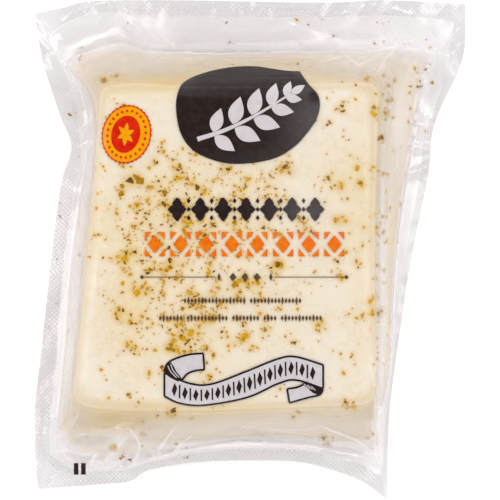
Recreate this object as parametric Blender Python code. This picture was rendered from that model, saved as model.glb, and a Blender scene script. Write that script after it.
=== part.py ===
"""A vacuum pack of halloumi, lying on its back with the face up.

One closed solid stands for the sealed pouch and the block of cheese that it grips: a flat base, a
face with rounded edges, walls of film that fall to the seal, and a thin wavy flange all round, with
the folds that the vacuum pulls into its corners. X runs to the right of the face, Y to its top and
Z up. The origin is under the middle of the pack, on the surface that it lies on. Loops and ridges
are given in millimetres.
"""

import bmesh
import bpy
import numpy as np

MM = 0.001

# Driving heights and thickness
FACE_HEIGHT = 25.6
FACE_CROWN = 0.6
FLANGE_THICKNESS = 0.6

# The pack is a stack of loops. Each loop is four sides, run anticlockwise from the bottom left
# corner, and each side takes this many columns of the mesh.
SIDE_COLUMNS = {"bottom": 24, "right": 30, "top": 24, "left": 30}
# Cells from the middle of the face to its edge, from there down to the foot, and over the flange
FACE_SHARES = (0.4, 0.75, 0.93, 1.0)
WALL_CELLS = 7
FLANGE_CELLS = 3
# Fine points for each column while a loop's corners are rounded
FINE = 8

# The cut edge of the two webs, as points (x, y, z) that a smooth curve runs through. The vacuum
# has pulled the edge in at the waist on the left and along the bottom.
CUT_BOTTOM_LEFT, CUT_BOTTOM_RIGHT = (-55.2, -62.3, 7.2), (35.6, -65.0, 6.0)
CUT_TOP_RIGHT, CUT_TOP_LEFT = (56.1, 64.0, 8.6), (-56.1, 61.4, 8.0)
CUT = {
    "bottom": (
        CUT_BOTTOM_LEFT, (-39.0, -60.9, 8.9), (-31.2, -60.1, 8.4), (-26.0, -57.2, 6.4), (-13.0, -55.2, 4.9),
        (4.0, -54.8, 4.4), (15.6, -55.7, 4.9), (28.6, -60.0, 6.4), CUT_BOTTOM_RIGHT,
    ),
    "right": (
        CUT_BOTTOM_RIGHT, (36.2, -43.0, 8.6), (38.8, -22.0, 9.4), (42.0, -1.5, 9.0), (46.3, 19.5, 7.6),
        (47.3, 30.2, 7.2), (50.0, 38.0, 8.0), (55.4, 50.2, 9.4), CUT_TOP_RIGHT,
    ),
    "top": (
        CUT_TOP_RIGHT, (35.0, 64.9, 10.8), (18.0, 64.3, 9.8), (-18.0, 64.9, 10.8), (-40.5, 64.7, 9.8),
        (-49.0, 62.9, 9.0), CUT_TOP_LEFT,
    ),
    "left": (
        CUT_TOP_LEFT, (-53.6, 48.0, 9.0), (-49.4, 35.0, 7.2), (-46.5, 26.8, 6.0), (-49.2, 17.0, 7.0),
        (-51.6, -2.0, 8.8), (-54.0, -24.0, 9.8), (-56.0, -44.0, 9.6), CUT_BOTTOM_LEFT,
    ),
}
CUT_ROUNDING = 1.5

# The foot of the pocket, where the two webs part. A corner of it is drawn out into an ear.
FOOT_BOTTOM_LEFT, FOOT_BOTTOM_RIGHT = (-50.6, -48.6, 10.2), (33.2, -54.2, 8.4)
FOOT_TOP_RIGHT, FOOT_TOP_LEFT = (48.2, 51.2, 10.4), (-49.2, 49.4, 10.4)
FOOT = {
    "bottom": (
        FOOT_BOTTOM_LEFT, (-45.8, -55.0, 10.0), (-34.0, -55.8, 9.6), (-13.0, -51.8, 8.2), (2.0, -50.4, 7.6),
        (16.0, -51.2, 8.0), FOOT_BOTTOM_RIGHT,
    ),
    "right": (
        FOOT_BOTTOM_RIGHT, (33.4, -44.0, 9.8), (36.4, -30.0, 10.4), (38.2, 0.0, 10.0), (42.2, 26.0, 9.4),
        (45.0, 43.0, 9.8), FOOT_TOP_RIGHT,
    ),
    "top": (
        FOOT_TOP_RIGHT, (38.2, 53.0, 11.6), (24.0, 53.4, 11.2), (0.0, 53.0, 10.8), (-26.0, 53.2, 10.8),
        (-35.0, 56.0, 11.0), (-44.0, 53.6, 10.8), FOOT_TOP_LEFT,
    ),
    "left": (
        FOOT_TOP_LEFT, (-43.4, 40.0, 9.8), (-42.2, 28.4, 8.6), (-44.6, 12.0, 9.2), (-47.0, -6.0, 9.8),
        (-48.4, -26.0, 10.4), FOOT_BOTTOM_LEFT,
    ),
}
FOOT_ROUNDING = 3.0

# The edge of the face, a little wider at the bottom. The base below it has the same edge.
FACE_BOTTOM_LEFT, FACE_BOTTOM_RIGHT = (-45.4, -39.2), (32.4, -38.6)
FACE_TOP_RIGHT, FACE_TOP_LEFT = (31.8, 42.6), (-37.8, 42.0)
FACE = {
    "bottom": (FACE_BOTTOM_LEFT, (-8.0, -40.4), FACE_BOTTOM_RIGHT),
    "right": (FACE_BOTTOM_RIGHT, (31.6, 2.0), FACE_TOP_RIGHT),
    "top": (FACE_TOP_RIGHT, (-4.0, 41.4), FACE_TOP_LEFT),
    "left": (FACE_TOP_LEFT, (-41.6, -2.6), FACE_BOTTOM_LEFT),
}
FACE_ROUNDING = 8.0

# Share of the run from the face to the foot in which the wall falls, side by side: past it the
# film runs on nearly flat to the foot.
WALL_REACH = {"bottom": 0.92, "right": 0.95, "top": 0.88, "left": 1.0}
REACH_ROUNDING = 14.0
# Share of the wall's height that is left to the nearly flat stretch
FLAT_RISE = 0.12

# Folds in the film: a route of (x, y) points, a height above the film round it, and a half width
FOLDS = {
    "bottom left brow": (((-50.0, -48.2), (-41.6, -47.4), (-31.2, -46.4)), 2.2, 2.4),
    "bottom left tail": (((-31.2, -46.4), (-34.5, -51.0), (-38.2, -55.0)), 2.0, 2.2),
    "bottom right web": (((31.5, -42.6), (32.6, -49.0), (33.0, -54.0)), 1.6, 2.0),
    "top right brow": (((26.0, 50.0), (37.0, 51.6), (46.0, 51.0)), 1.8, 2.4),
    "top right fold": (((38.0, 52.0), (33.0, 45.6)), 1.6, 2.2),
    "top left ear": (((-48.4, 48.4), (-40.0, 44.8)), 2.0, 2.6),
    "right knuckle": (((43.0, 33.0), (48.0, 31.0)), 1.2, 2.4),
    "waist": (((-41.0, 29.0), (-46.0, 27.0)), -1.4, 3.0),
}

FILM_COLOUR = (0.93, 0.87, 0.74, 1.0)
FILM_ROUGHNESS = 0.2


def side_curve(points, count):
    """Evenly spaced points, the last left out, on a smooth curve through a side's points."""
    points = np.array(points, float)
    before = np.vstack((2 * points[:1] - points[1:2], points[:-1]))
    after = np.vstack((points[1:], 2 * points[-1:] - points[-2:-1]))
    slopes = (after - before) / 2
    step = np.linspace(0, 1, 40, endpoint=False)[:, None]
    spans = [
        start * (2 * step**3 - 3 * step**2 + 1)
        + leave * (step**3 - 2 * step**2 + step)
        + end * (3 * step**2 - 2 * step**3)
        + arrive * (step**3 - step**2)
        for start, end, leave, arrive in zip(points[:-1], points[1:], slopes[:-1], slopes[1:])
    ]
    curve = np.vstack((*spans, points[-1:]))
    lengths = np.concatenate(([0], np.cumsum(np.linalg.norm(np.diff(curve, axis=0), axis=1))))
    wanted = np.linspace(0, lengths[-1], count, endpoint=False)
    return np.column_stack([np.interp(wanted, lengths, column) for column in curve.T])


def rounded(values, spacing, length):
    """A closed loop's values, averaged over a length to either side."""
    reach = max(1, round(length / spacing))
    shares = np.hanning(2 * reach + 3)[1:-1]
    wrapped = np.concatenate((values[-reach:], values, values[:reach]))
    return np.column_stack(
        [np.convolve(column, shares / shares.sum(), mode="valid") for column in wrapped.T]
    )


def closed_loop(sides, rounding):
    """One point for each column of the mesh, on four sides with rounded corners."""
    fine = np.vstack([side_curve(sides[side], SIDE_COLUMNS[side] * FINE) for side in SIDE_COLUMNS])
    spacing = np.linalg.norm(np.diff(fine[:, :2], axis=0), axis=1).mean()
    return rounded(fine, spacing, rounding)[::FINE]


def wall_reaches(spacing):
    """The wall's reach at each column, eased from side to side."""
    reaches = np.concatenate(
        [np.full(columns, WALL_REACH[side]) for side, columns in SIDE_COLUMNS.items()]
    )
    return rounded(reaches[:, None], spacing, REACH_ROUNDING)[:, 0]


def eased(share):
    """A smooth step from 0 to 1."""
    share = np.clip(share, 0, 1)
    return share * share * (3 - 2 * share)


def distance_to(route, x, y):
    """The distance in plan from each (x, y) to a route of straight runs."""
    nearest = np.full(x.shape, np.inf)
    for (ax, ay), (bx, by) in zip(route[:-1], route[1:]):
        run_x, run_y = bx - ax, by - ay
        along = ((x - ax) * run_x + (y - ay) * run_y) / (run_x**2 + run_y**2)
        along = np.clip(along, 0, 1)
        nearest = np.minimum(nearest, np.hypot(x - ax - along * run_x, y - ay - along * run_y))
    return nearest


def folds_at(x, y):
    """How far the folds lift the film at each (x, y)."""
    lift = np.zeros(x.shape)
    for route, height, width in FOLDS.values():
        lift += height * np.exp(-((distance_to(route, x, y) / width) ** 2))
    return lift


def skin(upper):
    """Rings of points (ring, column, xyz) from next to the middle out to the cut edge."""
    face = closed_loop(FACE, FACE_ROUNDING)
    foot = closed_loop(FOOT, FOOT_ROUNDING)
    cut = closed_loop(CUT, CUT_ROUNDING)
    middle = face.mean(axis=0)
    spacing = np.linalg.norm(np.diff(face, axis=0), axis=1).mean()
    reach = wall_reaches(spacing)
    drop = 0 if upper else FLANGE_THICKNESS
    edge_height = FACE_HEIGHT - FACE_CROWN if upper else 0
    rings = []
    for share in FACE_SHARES:
        crown = FACE_CROWN * (1 - share**2) if upper else 0
        heights = np.full(len(face), edge_height + crown)
        rings.append(np.column_stack((middle + share * (face - middle), heights)))
    for cell in range(1, WALL_CELLS + 1):
        out = cell / WALL_CELLS
        fallen = (1 - FLAT_RISE) * eased(out / reach) + FLAT_RISE * eased(out)
        across = face + out * (foot[:, :2] - face)
        heights = edge_height + fallen * (foot[:, 2] - drop - edge_height)
        lift = folds_at(*across.T) * eased(1.5 * out if upper else out)
        rings.append(np.column_stack((across, heights + lift)))
    for cell in range(1, FLANGE_CELLS + 1):
        out = cell / FLANGE_CELLS
        across = foot + out * (cut - foot)
        across[:, 2] += folds_at(across[:, 0], across[:, 1]) - drop
        rings.append(across)
    return np.array(rings)


def vacuum_pack():
    """The pack: a sphere whose upper rings of points become the upper skin, the rest the lower."""
    upper, lower = skin(upper=True), skin(upper=False)
    ring_count, column_count = upper.shape[:2]
    rows = 2 * ring_count + 1
    pack = bmesh.new()
    bmesh.ops.create_uvsphere(pack, u_segments=column_count, v_segments=rows, radius=1)
    for vertex in pack.verts:
        row = round(np.arccos(np.clip(vertex.co.z, -1, 1)) / np.pi * rows)
        column = round(np.arctan2(vertex.co.y, vertex.co.x) / (2 * np.pi) * column_count) % column_count
        if row == 0:
            place = (*upper[0, :, :2].mean(axis=0), FACE_HEIGHT)
        elif row == rows:
            place = (*lower[0, :, :2].mean(axis=0), 0)
        elif row <= ring_count:
            place = upper[row - 1, column]
        else:
            place = lower[rows - 1 - row, column]
        vertex.co = np.array(place) * MM
    mesh = bpy.data.meshes.new("vacuum_pack")
    pack.to_mesh(mesh)
    pack.free()
    mesh.shade_smooth()
    mesh.set_sharp_from_angle(angle=np.radians(50))
    return bpy.data.objects.new("vacuum_pack", mesh)


def film_over_cheese():
    """Clear film over cream cheese, as one plain surface."""
    material = bpy.data.materials.new("film_over_cheese")
    material.use_nodes = True
    shader = material.node_tree.nodes["Principled BSDF"]
    shader.inputs["Base Color"].default_value = FILM_COLOUR
    shader.inputs["Roughness"].default_value = FILM_ROUGHNESS
    shader.inputs["Metallic"].default_value = 0.0
    return material


def main():
    for old in list(bpy.data.objects):
        bpy.data.objects.remove(old)
    parts = bpy.data.collections.new("halloumi")
    bpy.context.scene.collection.children.link(parts)
    pack = vacuum_pack()
    pack.data.materials.append(film_over_cheese())
    parts.objects.link(pack)


main()
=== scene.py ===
"""The looks of a vacuum pack of herbed halloumi: clear film, cheese, whey, mint flakes and print.

Shapes are worked out in millimetres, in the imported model's frame, and become metres as each mesh
is made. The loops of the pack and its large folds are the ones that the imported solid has.
"""

import bmesh
import bpy
import numpy as np
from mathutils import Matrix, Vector
from mathutils.bvhtree import BVHTree


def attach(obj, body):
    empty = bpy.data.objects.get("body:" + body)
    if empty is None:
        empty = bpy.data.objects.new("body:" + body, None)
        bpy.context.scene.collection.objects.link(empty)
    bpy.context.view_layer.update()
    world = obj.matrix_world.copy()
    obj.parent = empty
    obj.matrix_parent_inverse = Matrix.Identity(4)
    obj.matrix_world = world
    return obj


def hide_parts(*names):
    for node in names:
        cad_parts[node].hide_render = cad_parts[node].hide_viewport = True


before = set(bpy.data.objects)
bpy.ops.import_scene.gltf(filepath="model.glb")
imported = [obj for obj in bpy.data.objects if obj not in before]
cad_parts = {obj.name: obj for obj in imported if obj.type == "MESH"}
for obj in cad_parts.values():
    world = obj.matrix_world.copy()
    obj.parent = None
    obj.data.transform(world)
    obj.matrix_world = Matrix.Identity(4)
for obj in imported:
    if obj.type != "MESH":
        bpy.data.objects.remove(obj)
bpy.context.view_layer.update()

MM = 0.001

# The pack's heights
FACE_HEIGHT = 25.6
FACE_CROWN = 0.6
FACE_SINK = 0.2
FLANGE_THICKNESS = 0.6

# Columns round the pack, before a piece multiplies them by its own detail
SIDE_COLUMNS = {"bottom": 24, "right": 30, "top": 24, "left": 30}

# Loops round the pack, as points that a smooth curve runs through. Each side starts at its corner
# and runs to the next side's first point. The cut edge of the two webs comes first.
CUT = {
    "bottom": (
        (-55.2, -62.3, 7.2), (-39, -60.9, 8.9), (-31.2, -60.1, 8.4), (-26, -57.2, 6.4),
        (-13, -55.2, 4.9), (4, -54.8, 4.4), (15.6, -55.7, 4.9), (28.6, -60, 6.4),
    ),
    "right": (
        (35.6, -65, 6), (36.2, -43, 8.6), (38.8, -22, 9.4), (42, -1.5, 9), (46.3, 19.5, 7.6),
        (47.3, 30.2, 7.2), (50, 38, 8), (55.4, 50.2, 9.4),
    ),
    "top": (
        (56.1, 64, 8.6), (35, 64.9, 10.8), (18, 64.3, 9.8), (-18, 64.9, 10.8), (-40.5, 64.7, 9.8),
        (-49, 62.9, 9),
    ),
    "left": (
        (-56.1, 61.4, 8), (-53.6, 48, 9), (-49.4, 35, 7.2), (-46.5, 26.8, 6), (-49.2, 17, 7),
        (-51.6, -2, 8.8), (-54, -24, 9.8), (-56, -44, 9.6),
    ),
}
CUT_ROUNDING = 1.5

# The foot of the pocket, where the two webs part
FOOT = {
    "bottom": (
        (-50.6, -48.6, 10.2), (-45.8, -55, 10), (-34, -55.8, 9.6), (-13, -51.8, 8.2), (2, -50.4, 7.6),
        (16, -51.2, 8),
    ),
    "right": (
        (33.2, -54.2, 8.4), (33.4, -44, 9.8), (36.4, -30, 10.4), (38.2, 0, 10), (42.2, 26, 9.4),
        (45, 43, 9.8),
    ),
    "top": (
        (48.2, 51.2, 10.4), (38.2, 53, 11.6), (24, 53.4, 11.2), (0, 53, 10.8), (-26, 53.2, 10.8),
        (-35, 56, 11), (-44, 53.6, 10.8),
    ),
    "left": (
        (-49.2, 49.4, 10.4), (-43.4, 40, 9.8), (-42.2, 28.4, 8.6), (-44.6, 12, 9.2), (-47, -6, 9.8),
        (-48.4, -26, 10.4),
    ),
}
FOOT_ROUNDING = 3.0

# The edge of the face, a little wider at the bottom. The base below it has the same edge.
FACE = {
    "bottom": ((-45.4, -39.2), (-8, -40.4)),
    "right": ((32.4, -38.6), (31.6, 2)),
    "top": ((31.8, 42.6), (-4, 41.4)),
    "left": ((-37.8, 42), (-41.6, -2.6)),
}
FACE_ROUNDING = 8.0

# Shares of a run at the bottom, right, top and left side, in the order of SIDE_COLUMNS
SHARES = {
    # The wall falls within its reach. Past it the film runs on nearly flat to the foot.
    "reach": (0.92, 0.95, 0.88, 1.0),
    # How much of the wall's run the cheese fills
    "cheese_reach": (0.8, 0.5, 0.72, 0.66),
    # How milky the whey is, and by how much it fades towards the foot
    "whey_veil": (0.42, 0.84, 0.62, 0.5),
    "whey_fade": (0.85, 0.1, 0.85, 0.85),
    # Where on the flange's run the seal starts, and how deep its knurl and high its ripples are
    "seal_start": (0.3, 0.62, 0.66, 0.34),
    "seal_depth": (0.9, 0.2, 0.45, 0.8),
    "rippling": (0.6, 0.3, 1.0, 0.3),
}
SIDE_ROUNDING = 14.0
FLAT_RISE = 0.12

# Folds in the film: a route of (x, y) points, a height above the film round it, and a half width
FOLDS = (
    (((-50, -48.2), (-41.6, -47.4), (-31.2, -46.4)), 2.2, 2.4),
    (((-31.2, -46.4), (-34.5, -51), (-38.2, -55)), 2, 2.2),
    (((31.5, -42.6), (32.6, -49), (33, -54)), 1.6, 2),
    (((26, 50), (37, 51.6), (46, 51)), 1.8, 2.4),
    (((38, 52), (33, 45.6)), 1.6, 2.2),
    (((-48.4, 48.4), (-40, 44.8)), 2, 2.6),
    (((43, 33), (48, 31)), 1.2, 2.4),
    (((-41, 29), (-46, 27)), -1.4, 3),
)

# Creases too fine for the solid, with a sharp crest, in the same form
CREASES = (
    (((-50.4, -48.3), (-45.5, -48.3), (-39, -46.8), (-31.4, -46.2)), 1.7, 2.6),
    (((-31.4, -46.2), (-30, -47.4), (-28.5, -50.6), (-29.8, -55), (-32.6, -57.4)), 1.3, 1.5),
    (((-31.4, -46.2), (-33.2, -50), (-37.4, -54.6)), 1.6, 2.2),
    (((-44, -49.5), (-41, -51.6), (-38.6, -53.2)), -0.9, 1.6),
    (((-42.9, -39.5), (-46.8, -46.8)), 1, 1.2),
    (((-55.2, -42), (-54.8, -53), (-50.7, -57.2), (-44, -58.8)), 0.6, 0.9),
    (((-18.7, -44.7), (-24.7, -53.3)), 0.8, 0.8),
    (((-15.6, -48.6), (-20.3, -52.5)), 0.6, 0.7),
    (((-26, -54.1), (-16.9, -52), (-2.6, -49.8), (3, -50.4)), 0.6, 0.6),
    (((-2, -45.6), (8, -47), (20, -46)), 0.5, 0.9),
    (((19.5, -46.3), (28, -49.5), (32.8, -53.3)), 0.8, 0.8),
    (((31.6, -44.2), (32.8, -53.3)), 1, 0.8),
    (((30.7, 51.5), (38.2, 52.8), (47.8, 51.2), (52, 50.7)), 0.7, 0.9),
    (((38.2, 52.8), (35.1, 49.4), (33.3, 46.3)), 0.8, 1.2),
    (((10.4, 59.8), (20.8, 55.9), (28.6, 53.8), (38.2, 53.6)), -0.4, 0.9),
    (((29.9, 63.7), (37.7, 62.4), (46.8, 59.3), (53.3, 53.3)), 0.5, 1.8),
    (((16.1, 44.2), (23.4, 42.8), (29.9, 44.4), (32.2, 46.8)), 0.5, 0.6),
    (((17.7, 48.9), (24.7, 50.4), (28.1, 47.8), (31.7, 49.4)), 0.6, 0.8),
    (((-52, 56.4), (-45.5, 61.9), (-36.4, 64.5)), 0.6, 2.4),
    (((-33.5, 60.8), (-30.6, 59)), 0.8, 1.4),
    (((-26.5, 59.5), (-21, 53.5)), 0.8, 1.8),
    (((-48.6, 48.6), (-45.5, 51.5), (-40, 54.2), (-34.3, 56.2)), 0.7, 1.1),
    (((-48.6, 48.6), (-46, 45), (-42.8, 42.6)), 0.7, 1),
    (((41, 20), (46.2, 21.5)), 0.6, 0.9),
    (((42, 27), (47, 26)), 0.7, 0.8),
    (((-45, 30), (-41, 34)), 0.6, 0.9),
)
CREST_ROUNDING = 0.12
# Film goes white along sharp crests, where it is bent, and with it highlights are painted along them: how
# far to each side, how much and from which slope
CREST_WHITE_REACH = 0.34
CREST_WHITE = 0.45
CREST_WHITE_SLOPE = 0.25
CREST_WHITE_LIMIT = 0.75
# All clusters are (x, y) of a middle, (x, y) of a spread and a weight. These are the corners and
# sides where large smooth facets have pulled the fine ripples out
CALM = (
    ((-40, -49), (11, 8), 0.9), ((38, 48), (9, 6), 0.6), ((-44, 48), (7, 7), 0.7),
    ((34, -48), (5, 8), 0.6), ((38, 0), (6, 40), 0.95), ((-47, -12), (6, 34), 0.9),
)


def side_curve(points, count):
    """Evenly spaced points, the last left out, on a smooth curve through a side's points."""
    points = np.array(points, float)
    before = np.vstack((2 * points[:1] - points[1:2], points[:-1]))
    after = np.vstack((points[1:], 2 * points[-1:] - points[-2:-1]))
    slopes = (after - before) / 2
    step = np.linspace(0, 1, 40, endpoint=False)[:, None]
    spans = [
        start * (2 * step**3 - 3 * step**2 + 1)
        + leave * (step**3 - 2 * step**2 + step)
        + end * (3 * step**2 - 2 * step**3)
        + arrive * (step**3 - step**2)
        for start, end, leave, arrive in zip(points[:-1], points[1:], slopes[:-1], slopes[1:])
    ]
    curve = np.vstack((*spans, points[-1:]))
    lengths = np.concatenate(([0], np.cumsum(np.linalg.norm(np.diff(curve, axis=0), axis=1))))
    wanted = np.linspace(0, lengths[-1], count, endpoint=False)
    return np.column_stack([np.interp(wanted, lengths, column) for column in curve.T])


def rounded(values, spacing, length):
    """A closed loop's values, averaged over a length to either side."""
    reach = max(1, round(length / spacing))
    shares = np.hanning(2 * reach + 3)[1:-1]
    wrapped = np.concatenate((values[-reach:], values, values[:reach]))
    return np.column_stack(
        [np.convolve(column, shares / shares.sum(), mode="valid") for column in wrapped.T]
    )


def raised(ring, height):
    """A ring moved up by one height, or by one for each of its points."""
    return ring + np.array((0, 0, 1)) * np.broadcast_to(height, len(ring))[:, None]


def steps(count, first=0, last=1):
    """Equal steps from a first value to a last, the first left out."""
    return np.linspace(first, last, count + 1)[1:]


def eased(share):
    """A smooth step from 0 to 1."""
    share = np.clip(share, 0, 1)
    return share * share * (3 - 2 * share)


def clusters_at(clusters, x, y):
    """How thick clusters lie at each (x, y)."""
    total = np.zeros(np.shape(x))
    for (middle_x, middle_y), (spread_x, spread_y), weight in clusters:
        total += weight * np.exp(-((x - middle_x) / spread_x) ** 2 - ((y - middle_y) / spread_y) ** 2)
    return total


def share_at(clusters, x, y):
    """The same, held between 0 and 1."""
    return np.clip(clusters_at(clusters, x, y), 0, 1)


def within(field, x, y):
    """Whether (x, y) lies in a field, which is given as (lowest, highest) in x and in y."""
    (low_x, high_x), (low_y, high_y) = field
    return low_x < x < high_x and low_y < y < high_y


def distance_to(route, x, y):
    """The distance in plan from each (x, y) to a route of straight runs."""
    nearest = np.full(x.shape, np.inf)
    for (ax, ay), (bx, by) in zip(route[:-1], route[1:]):
        run_x, run_y = bx - ax, by - ay
        along = ((x - ax) * run_x + (y - ay) * run_y) / (run_x**2 + run_y**2)
        along = np.clip(along, 0, 1)
        nearest = np.minimum(nearest, np.hypot(x - ax - along * run_x, y - ay - along * run_y))
    return nearest


def lift_of(folds, x, y):
    """How far folds lift the film at each (x, y)."""
    lift = np.zeros(x.shape)
    for route, height, width in folds:
        lift += height * np.exp(-((distance_to(route, x, y) / width) ** 2))
    return lift


def crests_of(creases, x, y):
    """How far creases lift the film at each (x, y)."""
    lift = np.zeros(x.shape)
    for route, height, width in creases:
        distance = np.hypot(distance_to(route, x, y), CREST_ROUNDING) - CREST_ROUNDING
        lift += height * np.exp(-distance / width)
    return lift


def crest_white_and_highlight_of(creases, x, y):
    """How far the film is whitened along the crests of its creases, as bending and as painted highlights.
    """
    white = np.zeros(x.shape)
    for route, height, width in creases:
        sharpness = max(0, height / width - CREST_WHITE_SLOPE)
        white += sharpness * np.exp(-((distance_to(route, x, y) / CREST_WHITE_REACH) ** 2))
    patchy = np.clip(0.7 + 0.5 * ripples(x, y, 5, 31), 0, 1)
    return CREST_WHITE * np.clip(white, 0, CREST_WHITE_LIMIT) * patchy


def ripples(x, y, size, seed):
    """Smooth uneven waves of about unit height."""
    draw = np.random.default_rng(seed)
    total = np.zeros(np.shape(x))
    waves = 7
    for _ in range(waves):
        angle, phase = draw.uniform(0, np.pi), draw.uniform(0, 2 * np.pi)
        pace = 2 * np.pi / (size * draw.uniform(0.7, 1.5))
        total += np.sin(pace * (x * np.cos(angle) + y * np.sin(angle)) + phase)
    return total * np.sqrt(2 / waves) / 1.5


class Loops:
    """The pack's loops and side by side shares, with detail times the basic columns."""

    def __init__(self, detail):
        self.columns = {side: columns * detail for side, columns in SIDE_COLUMNS.items()}
        self.face = self.closed(FACE, FACE_ROUNDING)
        self.foot = self.closed(FOOT, FOOT_ROUNDING)
        self.cut = self.closed(CUT, CUT_ROUNDING)
        self.middle = self.face.mean(axis=0)
        steps = np.diff(self.cut[:, :2], axis=0, append=self.cut[:1, :2])
        self.round = np.cumsum(np.linalg.norm(steps, axis=1))
        for name, shares in SHARES.items():
            setattr(self, name, self.along_sides(shares))

    def closed(self, sides, rounding, fine=4):
        """A closed loop through the points of four sides, worked out fine times as finely."""
        starts = list(sides.values())
        curves = []
        for points, following, count in zip(starts, starts[1:] + starts[:1], self.columns.values()):
            curves.append(side_curve((*points, following[0]), fine * count))
        loop = np.vstack(curves)
        spacing = np.linalg.norm(np.diff(loop[:, :2], axis=0), axis=1).mean()
        return rounded(loop, spacing, rounding)[::fine]

    def along_sides(self, shares):
        """A share for each column, running smoothly from side to side."""
        stepped = np.repeat(np.array(shares, float), list(self.columns.values()))
        spacing = self.round[-1] / len(stepped)
        return rounded(stepped[:, None], spacing, SIDE_ROUNDING)[:, 0]

    def face_ring(self, share, upper=True):
        """A ring on the face, or on the base, at a share of the way from its middle to its edge."""
        across = self.middle + share * (self.face - self.middle)
        if not upper:
            return np.column_stack((across, np.zeros(len(across))))
        x, y = across.T
        height = FACE_HEIGHT - FACE_CROWN * share**2 + self.tautness(x, y)
        return np.column_stack((across, height - self.brow(share, x, y)))

    def brow(self, share, x, y):
        """How far the film has turned down near the face's edge, which swings in and out a little."""
        drop, middle, swing, half_width = 0.4, 0.93, 0.04, 0.12
        edge = middle + swing * ripples(x, y, 17, 8)
        return drop * eased((share - edge + half_width) / (2 * half_width))

    def tautness(self, x, y):
        """Small swells where the film grips the uneven face, a little below the face's full height."""
        swell = 0.16
        return swell * (ripples(x, y, 26, 3) + 0.35 * ripples(x, y, 9, 4)) - FACE_SINK

    def wall_ring(self, out, upper=True):
        """A ring on the wall, out being 0 at the face's edge and 1 at the foot."""
        out = np.broadcast_to(out, self.reach.shape)
        across = self.face + out[:, None] * (self.foot[:, :2] - self.face)
        x, y = across.T
        fallen = (1 - FLAT_RISE) * eased(out / self.reach) + FLAT_RISE * eased(out)
        if upper:
            rim = FACE_HEIGHT - FACE_CROWN - self.brow(1, *self.face.T)
            edge = rim + self.tautness(x, y) * (1 - eased(out))
            height = edge + fallen * (self.foot[:, 2] - edge)
            height = height + lift_of(FOLDS, x, y) * eased(1.5 * out) + self.wrinkles(x, y, 1.5 * out)
        else:
            height = fallen * (self.foot[:, 2] - FLANGE_THICKNESS) + lift_of(FOLDS, x, y) * eased(out)
        return np.column_stack((across, height))

    def flange_ring(self, out, upper=True):
        """A ring on the flange, out being 0 at the foot and 1 at the cut edge."""
        out = np.broadcast_to(out, self.reach.shape)
        ring = self.foot + out[:, None] * (self.cut - self.foot)
        x, y = ring[:, :2].T
        ring[:, 2] += lift_of(FOLDS, x, y) + self.wrinkles(x, y, 1) + self.waves(out)
        gap = FLANGE_THICKNESS * (1 - eased(out / self.seal_start))
        ring[:, 2] -= FLANGE_THICKNESS / 2 if upper else FLANGE_THICKNESS
        return raised(ring, gap / 2 if upper else -gap / 2)

    def wrinkles(self, x, y, share):
        """Creases, and fine ripples that fade in over a share from 0 to 1."""
        fine = 0.12 * ripples(x, y, 8.0, 11) + 0.02 * ripples(x, y, 2.6, 12)
        puckers = -0.24 * np.abs(ripples(x, y, 11.0, 13))
        calm = share_at(CALM, x, y)
        return (crests_of(CREASES, x, y) + (fine + puckers) * (1 - calm)) * eased(share)

    def waves(self, out):
        """The flange's edge ripples across the run from the foot to the cut."""
        along, still = self.round, 0 * self.round
        swing = ripples(along, still, 13, 21) + 0.5 * ripples(along, still, 6, 22)
        height = 0.42
        return height * self.rippling * swing * eased(out)


def knurl(x, y):
    """The seal's diamonds, one unit high."""
    pitch = 0.85
    pace = 2 * np.pi / pitch
    return (np.cos(pace * (x + y) / np.sqrt(2)) + np.cos(pace * (x - y) / np.sqrt(2))) / 2


def mesh_of_rings(name, rings, pole=None, last_pole=None, turned=False):
    """A mesh from closed rings of (x, y, z) points in millimetres, with poles to close an end."""
    rings = np.array(rings)
    ring_count, column_count = rings.shape[:2]
    points = list(rings.reshape(-1, 3))
    columns = list(enumerate([*range(1, column_count), 0]))
    faces = []
    for ring in range(ring_count - 1):
        here, there = ring * column_count, (ring + 1) * column_count
        faces += [(here + i, there + i, there + after, here + after) for i, after in columns]
    if pole is not None:
        faces += [(len(points), i, after) for i, after in columns]
        points.append(np.array(pole))
    if last_pole is not None:
        base = (ring_count - 1) * column_count
        faces += [(len(points), base + after, base + i) for i, after in columns]
        points.append(np.array(last_pole))
    if turned:
        faces = [face[::-1] for face in faces]
    mesh = bpy.data.meshes.new(name)
    mesh.from_pydata([tuple(point * MM) for point in points], [], faces)
    mesh.validate()
    mesh.shade_smooth()
    return add(name, mesh)


def add(name, mesh):
    piece = bpy.data.objects.new(name, mesh)
    bpy.context.scene.collection.objects.link(piece)
    return piece


def set_attribute(piece, name, values):
    attribute = piece.data.attributes.new(name, "FLOAT", "POINT")
    attribute.data.foreach_set("value", np.asarray(values, np.float32))


def dress(piece, material, replaces=False):
    """The finish and the body of a piece."""
    piece.data.materials.clear()
    piece.data.materials.append(material)
    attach(piece, "root")
    if replaces:
        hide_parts("vacuum_pack")
    return piece


# Materials


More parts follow.
